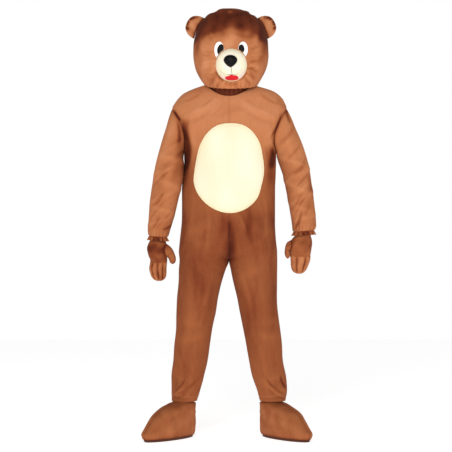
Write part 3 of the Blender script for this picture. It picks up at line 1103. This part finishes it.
def face_pieces():
    def muzzle_nap(x, height, r):
        return 0.86 - 0.36 * r ** 6 + 0.10 * swells(91, places(x, 0, height), 0.05) - 0.10 * (height < 1.575)

    def muzzle_relief(x, height, r):
        crease = ridges(((0.010, 1.563, 90, 0.020, 0.0035, -0.0022),), x, height)
        cheeks = ridges(
            ((-0.016, 1.575, 20, 0.016, 0.016, 0.0030), (0.036, 1.575, -20, 0.016, 0.016, 0.0026)), x, height)
        rim = gathers(np.degrees(np.arctan2(height - MUZZLE[1], x - MUZZLE[0])), 92, 21) - 0.5
        return crease + cheeks + 0.0009 * rim * r ** 8 + 0.0006 * swells(93, places(x, 0, height), 0.05)

    muzzle, _ = pad("muzzle", CREAM_VELOUR, ellipse(*MUZZLE), straight(head_front_y), PAD_GAP,
                    MUZZLE_EDGE, MUZZLE_RISE, MUZZLE_GRID, muzzle_nap, 0.06, muzzle_relief)
    nose, _ = pad("nose", BLACK_SATIN, nose_outline, facing(muzzle_y), PAD_GAP, FELT, 0.010,
                  NOSE_GRID, 0.5, 0.16, lambda x, height, r: 0.0004 * swells(94, places(x, 0, height), 0.02))
    mouth, _ = pad("mouth", RED_FELT, mouth_outline, straight(muzzle_y), 0.0016, 0.004, 0.003,
                   MOUTH_GRID, 0.5, 0.25,
                   lambda x, height, r: 0.0005 * swells(95, places(x, 0, height), 0.018))
    lip("lip_left", 298, 338)
    lip("lip_right", 250, 220)
    for key in ("left", "right"):
        white, seen = pad(f"eye_{key}", WHITE_FELT, above_muzzle(ellipse(*EYE[key])),
                          facing(head_front_y), PAD_GAP, FELT, 0.0, EYE_GRID, 0.5, 0.14)
        cloth_piece(seen, oval=True)
        black, seen = pad(f"pupil_{key}", BLACK_PLUSH, above_muzzle(ellipse(*PUPIL[key])),
                          facing(head_front_y), PAD_GAP + FELT + 0.0004, 0.002, 0.001, PUPIL_GRID, 0.5, 0.16)
        cloth_piece(seen, oval=True)
    tube("muzzle_line_middle", on_muzzle(PHILTRUM, 0.0002), 0.0007, DARK_THREAD)
    tube("muzzle_line_smile", on_muzzle(SMILE, 0.0001, 120), 0.0005, DARK_THREAD)


# Belly patch: its outline as a distance from its middle at each turn

PATCH_X = 0.005
PATCH_Z = 1.130
STITCH_SHARE = 0.965
PATCH_GRID = 104
PATCH = metres((
    # turn from the wearer's left, distance
    (-15, 138.5), (5, 143), (30, 158), (52, 190.5), (72, 215), (90, 218.5), (108, 213.5), (135, 180),
    (152, 159.5), (172, 151.5), (195, 157.5), (225, 159.5), (270, 163), (313, 153.5), (345, 138.5),
    (365, 143), (390, 158),
), 0)


def patch_outline(a, b):
    turn = np.degrees(np.arctan2(b, a)) % 360
    reach = curve(PATCH, turn)[0] * np.hypot(a, b)
    return PATCH_X + reach * cos(turn), PATCH_Z + reach * sin(turn)


def body_y(face):
    """Front or back of the suit, folds included, at places seen from the front."""
    def at(x, height):
        x, height = np.broadcast_arrays(x, height)
        row = curve(BODY, height)
        half = np.where(x >= 0, row[3], row[0])
        depth = row[4] if face < 0 else row[5]
        share = np.minimum(np.abs(x) / half, 0.98)
        names = ("front_left", "front_right") if face < 0 else ("back_left", "back_right")
        lift = np.where(x >= 0, ridges(FOLDS[names[0]], x, height), ridges(FOLDS[names[1]], x, height))
        lift = lift + creases_at(face, x, height)
        return face * (depth * (1 - share ** row[6]) ** (1 / row[6]) + lift)
    return at


def back_support(x, height):
    point, out = facing(body_y(1))(x, height)
    return point, -out


def belly_patch():
    def nap(x, height, r):
        waves = 0.10 * swells(101, places(x, 0, height), 0.12, (1, 1, 0.4))
        return 0.70 + waves - 0.30 * r ** 14 - 0.10 * ease((1.02 - height) / 0.06)

    def relief(x, height, r):
        turn = np.degrees(np.arctan2(height - PATCH_Z, x - PATCH_X))
        puckers = (gathers(turn, 102, 47) - 0.5) * fade(1 - r, 0.05)
        stitched = -0.0012 * fade(STITCH_SHARE - r, 0.012, 2)
        return stitched + 0.0006 * puckers + 0.0006 * swells(103, places(x, 0, height), 0.10, (1, 1, 0.4))

    piece, seen = pad("belly_patch", CREAM_VELOUR, patch_outline, facing(body_y(-1)), 0.0015,
                      0.003, 0.0, PATCH_GRID, nap, 0.03, relief)
    cloth_piece(seen, oval=True)
    turn = np.linspace(0, 360, 500)
    x, height = patch_outline(STITCH_SHARE * cos(turn), STITCH_SHARE * sin(turn))
    point, out = facing(body_y(-1))(x, height)
    stitches("patch_stitches", point + out * 0.0036, out, CREAM_THREAD, 0.0034, 0.0056)


# Mitts: sections from the wrist to the finger tips, split into front and palm along the sides

MITT = metres({
    # height, middle x, half width, front, palm
    "right": (
        (676, -301, 11, 3.5, 3.5), (681, -301, 22, 12, 11), (691, -302, 30, 20, 18),
        (708, -304, 35.5, 25.5, 22), (730, -306, 38, 28.5, 24), (754, -303, 37, 29, 25),
        (764, -302, 37, 30, 26), (785, -307, 40.5, 41, 28), (815, -310, 43, 44, 30),
        (837, -308, 39.5, 38.5, 31), (850, -306.5, 34.5, 33, 32), (866, -305, 34.9, 35.7, 35.7),
        (880, -304.5, 33.6, 35, 35),
    ),
    "left": (
        (707, 301, 11, 3.5, 3.5), (712, 301, 22, 12, 11), (722, 301.5, 31, 20, 18),
        (740, 303, 37.5, 26, 22), (760, 306.5, 42, 29, 24), (779, 307, 44, 30, 25), (788, 306, 45, 32, 26),
        (808, 306, 48, 42, 28), (833, 309, 48.5, 44, 30), (855, 313, 43.5, 39, 31), (872, 318, 35, 34, 32),
        (890, 321, 40, 39.9, 39.9), (905, 321, 38.5, 38.5, 38.5),
    ),
})
FINGERS_GRID = (60, 100)
HAND_BACK_GRID = (50, 70)
PALM_GRID = (90, 60)
THUMB_ROWS = 40
THUMB_COLUMNS = 48
MITT_Y = {"left": -0.029, "right": -0.033}
KNUCKLE = {"right": 0.7590, "left": 0.7840}
THUMB_HOLE = {
    # middle height, half height, half turn of the opening in the side seam
    "right": (0.8060, 0.0300, 40),
    "left": (0.8260, 0.0270, 36),
}
GROOVES = {
    # turn of the groove between two fingers, depth
    "right": ((48, 0.0050), (88, 0.0055), (124, 0.0045)),
    "left": ((62, 0.0055), (112, 0.0055)),
}
THUMB = metres({
    # outer x and height, inner x and height, middle y, half depth
    "right": (
        (-268, 836, -268, 776, -33, 22), (-247, 818, -261, 774, -35, 18), (-234, 793, -260, 774, -37, 16),
        (-228, 770, -257, 764, -39, 15), (-232, 755, -252, 753, -40, 11),
        (-240.5, 748, -241.5, 748, -40, 0.6),
    ),
    "left": (
        (260, 853, 260, 799, -33, 22), (247, 840, 256.5, 800, -37, 18), (240.5, 818, 259, 798, -41, 16),
        (238.5, 797, 262, 790, -44, 14), (243, 780, 260, 778, -45, 10), (251, 771, 252, 771, -45, 0.6),
    ),
})


def mitt_point(key, side, face, height, turn, grooved=0.0):
    """Point of the mitt. Turn 0 is the outer side, 180 the thumb side."""
    x, half, front, palm = curve(MITT[key], height)
    depth = front if face < 0 else palm
    y = depth * np.abs(sin(turn)) ** 0.9
    if face < 0:
        for middle, deep in GROOVES[key]:
            y = y - grooved * deep * fade(turn - middle, 8, 2)
    return places(x + side * half * cos(turn), MITT_Y[key] + face * y, height)


def thumb_edge(key, height):
    """Half turn by which the front and the palm stay apart for the thumb."""
    middle, half, turn = THUMB_HOLE[key]
    off = (height - middle) / half
    return turn * np.sqrt(np.maximum(0.0, 1 - off * off))


def thumb_outward(key, side, face, height):
    """Outward direction shared by the mitt and the thumb along their seam."""
    middle, half, _ = THUMB_HOLE[key]
    up = np.clip((height - middle) / half, -1.0, 1.0)
    apart = thumb_edge(key, height)
    out = places(-side * cos(apart), face * (sin(apart) + np.sqrt(1 - up * up)), up)
    return out / np.linalg.norm(out, axis=-1, keepdims=True)


def mitt_panel(name, key, side, face, low, high, rows, columns, grooved):
    height = steps_down(low, high, rows)
    if low == MITT[key][0][0]:
        height = low + (high - low) * steps_down(0, 1, rows) ** 1.5
    end = 180.0 - thumb_edge(key, height)
    share = np.zeros(height.shape)
    if grooved:
        share = np.minimum(1.0, (high - height) / 0.015 + 0.15) * np.minimum(1.0, (height - low) / 0.012)
    turn = end * steps_across(0, 1, columns)
    grid = mitt_point(key, side, face, height, turn, share)
    out = normals(grid)
    out[:, 0] = in_plane(out[:, 0], (0, 1, 0))
    out[:, -1] = in_plane(out[:, -1], (0, 1, 0))
    middle, half, _ = THUMB_HOLE[key]
    by_thumb = np.flatnonzero(np.abs(height[:, 0] - middle) <= half)
    out[by_thumb, -1] = thumb_outward(key, side, face, height[by_thumb, 0])
    if high == KNUCKLE[key] - SEAM / 2:
        out[-1] = in_plane(out[-1], (0, 0, 1))
    if low == KNUCKLE[key] + SEAM / 2:
        out[0] = in_plane(out[0], (0, 0, 1))
    if low == MITT[key][0][0]:
        out[0] = (0, 0, -1)
    from_outer, from_thumb, from_low, from_high = edge_distances(grid)
    from_side = np.minimum(from_outer, from_thumb)
    z = grid[..., 2]
    held = ease(from_side / 0.008)
    puckers = gathers(turn * (1 if face < 0 else -1), 111 + side, 19) - 0.5
    wrist = fade(np.abs(z - KNUCKLE[key] - 0.090), 0.016) * (z > KNUCKLE[key] + 0.02)
    lift = 0.0016 * puckers * wrist * held + 0.0009 * swells(113 + side, grid, 0.045) * held
    if grooved:
        knuckles = fade(from_high, 0.009, 1.4)
        lift = lift + 0.0012 * (gathers(turn, 115, 11) - 0.5) * knuckles * held
    dips = groove(from_side, 0.0009, 0.0035)
    if face < 0:
        dips = dips + groove(from_high if grooved else from_low, 0.0012, 0.0035)
    base = grid + out * ((lift + dips) * (1.0 if high > 0.86 else ease(from_low / 0.004)))[..., None]
    nap = (0.50 if key == "left" else 0.40) + 0.10 * swells(117 + side, grid, 0.05) + 34 * lift
    if face < 0:
        nap = nap - (0.10 if key == "left" else 0.22) * fade(z - KNUCKLE[key] - 0.050, 0.026, 2)
        nap = nap + 0.22 * ease((KNUCKLE[key] - z) / 0.01)
        for at_turn, _ in GROOVES[key]:
            nap = nap - 0.40 * share * fade(turn - at_turn, 7, 2)
    nap = nap - 0.25 * fade(from_side, 0.004)
    shift = np.array((0, face * SEAM / 2, 0))
    plush_wall(name, base, out, MITT_WALL, nap, shift)


def mitt(key, side):
    lowest = MITT[key][0][0]
    knuckle = KNUCKLE[key]
    wrist = MITT[key][-1][0]
    mitt_panel(f"mitt_{key}_fingers", key, side, -1, lowest, knuckle - SEAM / 2, *FINGERS_GRID, True)
    mitt_panel(f"mitt_{key}_back", key, side, -1, knuckle + SEAM / 2, wrist, *HAND_BACK_GRID, False)
    mitt_panel(f"mitt_{key}_palm", key, side, 1, lowest, wrist, *PALM_GRID, False)
    table = THUMB[key]
    turn = np.arange(THUMB_COLUMNS) * 360.0 / THUMB_COLUMNS
    middle, half, _ = THUMB_HOLE[key]
    height = middle + half * cos(turn)
    edge = 180.0 - thumb_edge(key, height)
    front = (turn <= 180)[:, None]
    seam = np.where(front, mitt_point(key, side, -1, height, edge), mitt_point(key, side, 1, height, edge))
    out_seam = np.where(front, thumb_outward(key, side, -1, height), thumb_outward(key, side, 1, height))
    at = (len(table) - 1) * steps_down(0, 1, THUMB_ROWS) ** 0.9
    grid = oval(table, at, turn[None, :])
    grid = grid + (np.maximum(0.0, 1 - at / 1.6) ** 1.5)[..., None] * (seam - oval(table, 0.0, turn))
    grid[0] += (-side * 2 * SEAM, 0, 0)
    out = normals(grid, loop=True)
    _, _, from_seam, _ = edge_distances(grid)
    out[0] = out_seam
    out[-1] = (0, 0, -1)
    crease = (gathers(turn[None, :], 119 + side, 9) - 0.5) * fade(from_seam, 0.012) * ease(from_seam / 0.004)
    base = grid + out * (0.0014 * crease + groove(from_seam, 0.0010, 0.0035))[..., None]
    nap = 0.52 + 0.10 * swells(121 + side, grid, 0.03) + 0.2 * crease - 0.30 * fade(from_seam, 0.004)
    plush_wall(f"mitt_{key}_thumb", base, out, THUMB_WALL, nap, loop=True)


# Boot covers: level sections round the foot, split along the top of the foot

BOOT = metres((
    # height, reach to the toe, reach to the heel, half width
    (12, 240, 56, 47), (30, 247, 61, 52), (56, 226, 61, 54), (85, 200, 59, 54), (106, 178, 58, 53),
    (122, 150, 57, 52), (134, 120, 56, 51), (142, 93, 55, 50), (148, 68, 53, 49), (152.5, 45, 45, 43),
    (157, 43, 43, 42), (195, 39.5, 39.5, 38.5),
))
FOOT = {
    # ankle x, ankle y, turn of the toes outward, how much wider the ankle is
    "left": (0.1850, 0.004, 39, 0.0011),
    "right": (-0.1970, -0.004, 41, 0.0015),
}
SOLE_TOP = 0.012
BOOT_TALL = 0.183
TREAD_PITCH = 0.009
BOOT_ROWS = 56
BOOT_COLUMNS = 96
BOOT_SQUARE = 2.3
BOOT_CREASES = metres((
    # distance ahead of the ankle, height, lean, half length, half width, rise
    (60, 128, -38, 40, 6, 2.6), (85, 112, -30, 46, 6, -2.4), (120, 80, -52, 40, 7, 2.4),
    (40, 100, 70, 30, 7, -2), (-20, 110, 10, 40, 7, 2.2), (160, 60, -60, 30, 8, -1.6),
    (90, 40, 4, 70, 6, 1.2),
), 2)


def foot_place(key, side, ahead, aside, height):
    """From toe direction and sideways distance to the costume's own directions."""
    x, y, turn, _ = FOOT[key]
    sideways = side * (ahead * sin(turn) + aside * cos(turn))
    return places(x + sideways, y - ahead * cos(turn) + aside * sin(turn), height)


def boot_ring(key, height, turn):
    toe, heel, half = [reach + FOOT[key][3] for reach in curve(BOOT, height)]
    power = 2 / BOOT_SQUARE
    return (toe - heel) / 2 + (toe + heel) / 2 * bend(cos(turn), power), half * np.abs(sin(turn)) ** power


def boot_half(name, key, side, hand):
    height = SOLE_TOP + BOOT_TALL * steps_down(0, 1, BOOT_ROWS)
    turn = steps_across(0, 180, BOOT_COLUMNS)
    ahead, aside = boot_ring(key, height, turn)
    grid = foot_place(key, side, ahead, hand * (aside + SEAM / 2), height + SEAM)
    out = normals(grid)
    plane = foot_place(key, side, 0, 1, 0) - foot_place(key, side, 0, 0, 0)
    out[:, 0] = in_plane(out[:, 0], plane)
    out[:, -1] = in_plane(out[:, -1], plane)
    from_toe, from_heel, from_sole, _ = edge_distances(grid)
    from_seam = np.minimum(from_toe, from_heel)
    low_boot = ease((0.150 - grid[..., 2]) / 0.012)
    lift = ridges(BOOT_CREASES, ahead, height + 0 * ahead) * ease(from_seam / 0.012)
    lift = lift + 0.0010 * swells(131 + side + 3 * hand, grid, 0.06) * ease(from_seam / 0.01)
    puckers = gathers(turn * 2, 133 + side * hand, 37) - 0.5
    lift = lift + 0.0010 * puckers * fade(from_sole, 0.008)
    face = lift * low_boot * ease(from_sole / 0.003) + groove(from_seam, 0.0014, 0.004) * low_boot
    base = grid + out * face[..., None]
    nap = 0.56 + 20 * lift + 0.06 * swells(135 + side, grid, 0.07) - 0.14 * fade(from_seam, 0.004)
    nap = nap - 0.14 * ease((grid[..., 2] - 0.115) / 0.04) - 0.25 * fade(from_sole, 0.006)
    plush_wall(name, base, out, BOOT_WALL, nap)


def boot_sole(name, key, side):
    a, b = disc(40)
    toe, heel, half = curve(BOOT, SOLE_TOP)
    ahead = (toe - heel) / 2 + (toe + heel) / 2 * a
    top = foot_place(key, side, ahead, half * b, SOLE_TOP)
    r = np.minimum(np.hypot(a, b), 1.0)
    tread = 0.0007 * (np.sin(ahead * 2 * math.pi / TREAD_PITCH) > 0.55) * (r < 0.94)
    worn = 0.0016 * np.clip((r - 0.95) / 0.05, 0, 1) ** 2
    bottom = foot_place(key, side, 0.1 + (ahead - 0.1) * 0.97, half * b * 0.95, tread + worn)
    piece = shell(name, bottom, top, SOLE_SHEET, 0.5)
    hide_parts(name)


# Neck skirt of the head, tucked into the suit's neckline

NECK_SKIRT = metres((
    # height, middle x, middle y, half width, half depth
    (1400, 0, -2, 88, 86), (1460, 0, -2, 90, 88), (1517, 0, -3, 95, 94.5), (1526, -1, -4, 97.1, 97.1),
    (1545, 0, -4, 100, 100),
))
SKIRT_ROWS = 24
SKIRT_COLUMNS = 160


def neck_skirt():
    turn = (np.arange(SKIRT_COLUMNS) * 360.0 / SKIRT_COLUMNS)[None, :]
    height = steps_down(NECK_SKIRT[0][0], NECK_SKIRT[-1][0], SKIRT_ROWS)
    x, y, half_width, half_depth = curve(NECK_SKIRT, height)
    grid = places(x + half_width * cos(turn), y - half_depth * sin(turn), height)
    out = normals(grid, loop=True)
    puckers = gathers(turn, 141, 27) - 0.6
    puckers = puckers * ease((1.520 - height) / 0.02) * ease((height - NECK_SKIRT[0][0]) / 0.02)
    base = grid + out * (0.0018 * puckers)[..., None]
    nap = 0.45 + 0.25 * puckers
    piece = shell("neck_skirt", base, base - out * CLOTH, SHADOW_CLOTH, nap, loop=True)
    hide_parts("neck_skirt")
    cloth_piece(base, loop=True)


PLACKET_LOW = 0.960
PLACKET_HIGH = 1.445
PLACKET_HALF = 0.020
PLACKET_GAP = 0.001
PLACKET_ROWS = 150
PLACKET_COLUMNS = 22


def back_placket():
    """Flap over the back opening, held by a touch fastener along its length."""
    height = steps_down(PLACKET_LOW, PLACKET_HIGH, PLACKET_ROWS)
    x = steps_across(-PLACKET_HALF, PLACKET_HALF, PLACKET_COLUMNS)
    point, out = back_support(x + 0 * height, height + 0 * x)
    edge = np.minimum(PLACKET_HALF - np.abs(x), np.minimum(height - PLACKET_LOW, PLACKET_HIGH - height))
    thick = CLOTH * (0.35 + 0.65 * np.sqrt(ease(edge / 0.003)))
    thick = thick + groove(np.abs(edge - 0.005), 0.0006, 0.0015)
    thick = thick + 0.0004 * swells(151, point, 0.04) * ease(edge / 0.004)
    face = point + out * (PLACKET_GAP + thick)[..., None]
    nap = 0.52 + 0.10 * swells(152, point, 0.08) - 0.25 * fade(edge, 0.003)
    piece = shell("back_placket", face, point + out * PLACKET_GAP, BROWN_VELOUR, nap)
    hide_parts("back_placket")
    cloth_piece(face)
    for n, at_x in enumerate((-0.015, 0.015)):
        line, out = back_support(np.full(200, at_x), np.linspace(0.964, 1.441, 200))
        line = line + out * 0.0029
        stitches(f"placket_stitches_{n}", line, out, BROWN_THREAD, 0.0030, 0.0050)


def hem_stitches(name, base, out):
    """Running stitches round a trouser hem, above its edge."""
    row = int(np.argmin(np.abs(edge_distances(base)[2].mean(axis=1) - HEM_STITCH)))
    stitches(name, base[row, 2:-2], out[row, 2:-2], BROWN_THREAD, 0.0032, 0.0054)


# The costume

head_half("head_front", -1)
head_half("head_back", 1)
for ear_side, ear_key in ((1, "left"), (-1, "right")):
    ear(f"ear_{ear_key}_front", TAN_VELOUR, ear_side, -1)
    ear(f"ear_{ear_key}_back", BROWN_VELOUR, ear_side, 1)
face_pieces()
neck_skirt()
for panel, panel_side, panel_face in (("front_left", 1, -1), ("front_right", -1, -1), ("back_left", 1, 1),
                                      ("back_right", -1, 1)):
    panel_base, panel_out = body_panel(panel, panel_side, panel_face)
    hem_stitches(f"hem_stitches_{panel}", panel_base, panel_out)
belly_patch()
back_placket()
sleeve("sleeve_left", 1, "left")
sleeve("sleeve_right", -1, "right")
cuff("cuff_left", "left")
cuff("cuff_right", "right")
mitt("left", 1)
mitt("right", -1)
for boot_key, boot_side in (("left", 1), ("right", -1)):
    boot_half(f"boot_{boot_key}_outer", boot_key, boot_side, 1)
    boot_half(f"boot_{boot_key}_inner", boot_key, boot_side, -1)
    boot_sole(f"boot_{boot_key}_sole", boot_key, boot_side)


# Studio: a white floor that glows a little, a white world, two soft lights and the photo's camera

FLOOR_HALF = 6
FLOOR_GLOW = 0.62
LIGHTS = (
    # name, place, aim, size, power
    ("key", (-0.8, -5.2, 2.2), (0, 0, -0.4), 2.0, 112),
    ("fill", (2.2, -4.6, 0.6), (0, 0, -0.6), 2.0, 32),
)
CAMERA_X = -0.013
CAMERA_AWAY = 7.0
CAMERA_HEIGHT = 0.912
LENS_MM = 129
SENSOR_MM = 36


def soft_light(name, place, aim, size, power):
    lamp = bpy.data.lights.new(name, "AREA")
    lamp.shape = "SQUARE"
    lamp.size = size
    lamp.energy = power
    made = bpy.data.objects.new(name, lamp)
    made.location = place
    away = np.array(place, dtype=float) - np.array(aim, dtype=float)
    flat = math.hypot(away[0], away[1])
    made.rotation_euler = (math.atan2(flat, away[2]), 0.0, math.atan2(away[0], -away[1]))
    bpy.context.scene.collection.objects.link(made)


def studio():
    scene = bpy.context.scene
    world = bpy.data.worlds.new("white_studio")
    world.use_nodes = True
    tree = world.node_tree
    way = add(tree, "TexCoord").outputs["Generated"]
    up = add(tree, "SeparateXYZ", {}, {"Vector": way}).outputs["Z"]
    height = add(tree, "Math", {}, {0: up}, operation="ABSOLUTE").outputs[0]
    walls = add(tree, "ValToRGB", {}, {"Fac": height}, ((0.22, "ffffff"), (0.40, "8c8c8c")))
    tree.links.new(walls.outputs["Color"], tree.nodes["Background"].inputs["Color"])
    tree.nodes["Background"].inputs["Strength"].default_value = 1.0
    scene.world = world
    scene.view_settings.view_transform = "Standard"
    for light in LIGHTS:
        soft_light(*light)
    mesh = bpy.data.meshes.new("floor")
    corners = [(x * FLOOR_HALF, y * FLOOR_HALF, -SHOULDER) for x, y in ((-1, -1), (1, -1), (1, 1), (-1, 1))]
    mesh.from_pydata(corners, [], [(0, 1, 2, 3)])
    floor = bpy.data.objects.new("floor", mesh)
    scene.collection.objects.link(floor)
    new_material("white_floor", {
        "Base Color": linear("fafafa"), "Roughness": 0.9, "Emission Color": linear("ffffff"),
        "Emission Strength": FLOOR_GLOW})
    mesh.materials.append(bpy.data.materials["white_floor"])
    lens = bpy.data.cameras.new("photo_camera")
    lens.lens = LENS_MM
    lens.sensor_width = SENSOR_MM
    camera = bpy.data.objects.new("photo_camera", lens)
    camera.location = (CAMERA_X, -CAMERA_AWAY, CAMERA_HEIGHT - SHOULDER)
    camera.rotation_euler = (math.pi / 2, 0, 0)
    scene.collection.objects.link(camera)
    scene.camera = camera


studio()
